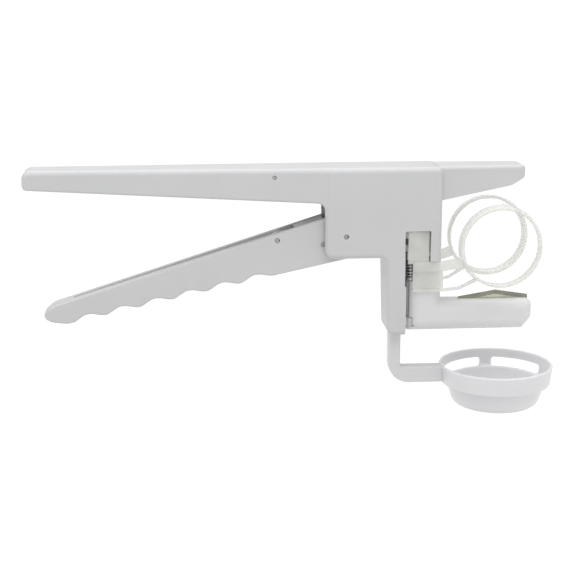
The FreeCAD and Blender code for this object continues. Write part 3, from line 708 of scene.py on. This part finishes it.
class CRACKER_OT_blades(bpy.types.Operator):
    """Make the two thin blades with their ground edges"""

    bl_idname = "cracker.blades"
    bl_label = "Blades"

    def execute(self, context):
        steel = context.scene.cracker_steel
        material = rolled_steel("blade_steel", tuple(steel.blade_colour), 0.24)
        for side in ("left", "right"):
            low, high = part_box(side + "_blade")
            outer_y = high.y if side == "left" else low.y
            inner_y = low.y if side == "left" else high.y
            select_only()
            bpy.ops.mesh.primitive_plane_add(
                size=1.0, location=((low.x + high.x) / 2, inner_y, (low.z + high.z) / 2),
                rotation=(ACROSS, 0, 0))
            blade = context.object
            blade.scale = (high.x - low.x, high.z - low.z, 1.0)
            bpy.ops.object.transform_apply(location=True, rotation=True, scale=True)
            bpy.ops.object.mode_set(mode="EDIT")
            middle_x = (low.x + high.x) / 2
            apex_x = low.x + BLADE_APEX_SHARE * (high.x - low.x)
            pick(lambda p: p.z > high.z - 0.001, "EDGE")
            bpy.ops.mesh.subdivide(number_cuts=1)
            pick(lambda p: p.z > high.z - 0.001 and abs(p.x - middle_x) < 0.001)
            bpy.ops.transform.translate(value=(apex_x - middle_x, 0, 0))
            pick(lambda p: p.z > high.z - 0.001 and p.x > apex_x + 0.001)
            bpy.ops.transform.translate(value=(0, 0, -BLADE_FRONT_FALL))
            pick(lambda p: p.z > high.z - 0.001 and p.x < apex_x - 0.001)
            bpy.ops.transform.translate(value=(0, 0, -BLADE_REAR_FALL))
            bpy.ops.mesh.select_mode(type="FACE")
            bpy.ops.mesh.select_all(action="SELECT")
            bpy.ops.mesh.extrude_region_move(
                TRANSFORM_OT_translate={"value": (0, outer_y - inner_y, 0)})
            for direction, fall in ((1.0, BLADE_FRONT_FALL / (high.x - apex_x)),
                                    (-1.0, BLADE_REAR_FALL / (apex_x - low.x))):
                normal = Vector((direction * fall, 0, 1)).normalized()
                bpy.ops.mesh.select_all(action="SELECT")
                bpy.ops.mesh.bisect(
                    plane_co=(apex_x, 0, high.z - steel.blade_grind), plane_no=normal)
            pick(lambda p: abs(p.y - outer_y) < 0.00001
                 and p.z > edge_line(p.x, apex_x, low, high) - 0.0002)
            bpy.ops.transform.translate(value=(0, (inner_y - outer_y) * BLADE_EDGE_SHARE, 0))
            bpy.ops.mesh.select_all(action="SELECT")
            bpy.ops.mesh.normals_make_consistent(inside=False)
            bpy.ops.object.mode_set(mode="OBJECT")
            settle(side + "_ground_blade", side + "_arm", material, 8.0)
            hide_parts(side + "_blade")
        return {"FINISHED"}


def edge_line(x, apex_x, low, high):
    """Height of a blade's cutting edge at x."""
    if x > apex_x:
        return high.z - BLADE_FRONT_FALL * (x - apex_x) / (high.x - apex_x)
    return high.z - BLADE_REAR_FALL * (apex_x - x) / (apex_x - low.x)


class CRACKER_OT_mould_marks(bpy.types.Operator):
    """Add the marks that moulding leaves: ejector discs inside the handle, and the gate in the cup"""

    bl_idname = "cracker.mould_marks"
    bl_label = "Mould marks"

    def execute(self, context):
        low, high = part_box("housing")
        ceiling = high.z - HOUSING_WALL
        finish = NODES["housing"].material_slots[0].material
        for i in range(EJECTOR_MARKS):
            x = low.x + EJECTOR_FIRST + i * EJECTOR_PITCH
            moulded_disc((x, 0, ceiling), EJECTOR_RADIUS, EJECTOR_HEIGHT, -1.0)
            settle("ejector_mark_%d" % (i + 1), "housing", finish)
        low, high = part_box("separator_cup")
        finish = NODES["separator_cup"].material_slots[0].material
        moulded_disc(((low.x + high.x) / 2, 0, low.z + CUP_WALL), GATE_RADIUS, GATE_HEIGHT, 1.0)
        settle("cup_gate", "separator", finish)
        return {"FINISHED"}


def moulded_disc(place, radius, height, direction):
    """A low disc with a dished face and a soft rim, standing on a surface."""
    select_only()
    bpy.ops.mesh.primitive_cylinder_add(
        vertices=32, radius=radius, depth=height * 2, location=place)
    bpy.ops.object.transform_apply(location=True, rotation=True, scale=True)
    bpy.ops.object.mode_set(mode="EDIT")
    face_z = place[2] + direction * height
    pick(lambda p: abs(p.z - face_z) < height * 0.1, "FACE")
    bpy.ops.mesh.inset(thickness=radius * 0.22)
    bpy.ops.mesh.extrude_region_move(
        TRANSFORM_OT_translate={"value": (0, 0, -direction * height * 0.4)})
    bpy.ops.object.mode_set(mode="OBJECT")
    apply_modifier(bpy.context.object, "BEVEL", width=height * 0.3, segments=2,
                   limit_method="ANGLE", angle_limit=math.radians(40))


OPERATORS = (
    CRACKER_OT_stage,
    CRACKER_OT_mouldings,
    CRACKER_OT_cradles,
    CRACKER_OT_steel,
    CRACKER_OT_pins,
    CRACKER_OT_springs,
    CRACKER_OT_blades,
    CRACKER_OT_mould_marks,
)


class CRACKER_PT_panel(bpy.types.Panel):
    """Lists the steps and the settings"""

    bl_idname = "CRACKER_PT_panel"
    bl_label = "Egg cracker"
    bl_space_type = "VIEW_3D"
    bl_region_type = "UI"
    bl_category = "Egg cracker"

    def draw(self, context):
        for operator in OPERATORS:
            self.layout.operator(operator.bl_idname)
        for name, group in GROUPS.items():
            box = self.layout.box()
            box.label(text=group.__doc__)
            for key in group.__annotations__:
                box.prop(getattr(context.scene, name), key)


CLASSES = (*GROUPS.values(), *OPERATORS, CRACKER_PT_panel)


def register():
    for cls in CLASSES:
        bpy.utils.register_class(cls)
    for name, group in GROUPS.items():
        setattr(bpy.types.Scene, name, PointerProperty(type=group))


def unregister():
    for name in GROUPS:
        delattr(bpy.types.Scene, name)
    for cls in reversed(CLASSES):
        bpy.utils.unregister_class(cls)


def main():
    register()
    bpy.ops.cracker.stage()
    bpy.ops.cracker.mouldings()
    bpy.ops.cracker.cradles()
    bpy.ops.cracker.steel()
    bpy.ops.cracker.pins()
    bpy.ops.cracker.springs()
    bpy.ops.cracker.blades()
    bpy.ops.cracker.mould_marks()


if __name__ == "__main__":
    main()
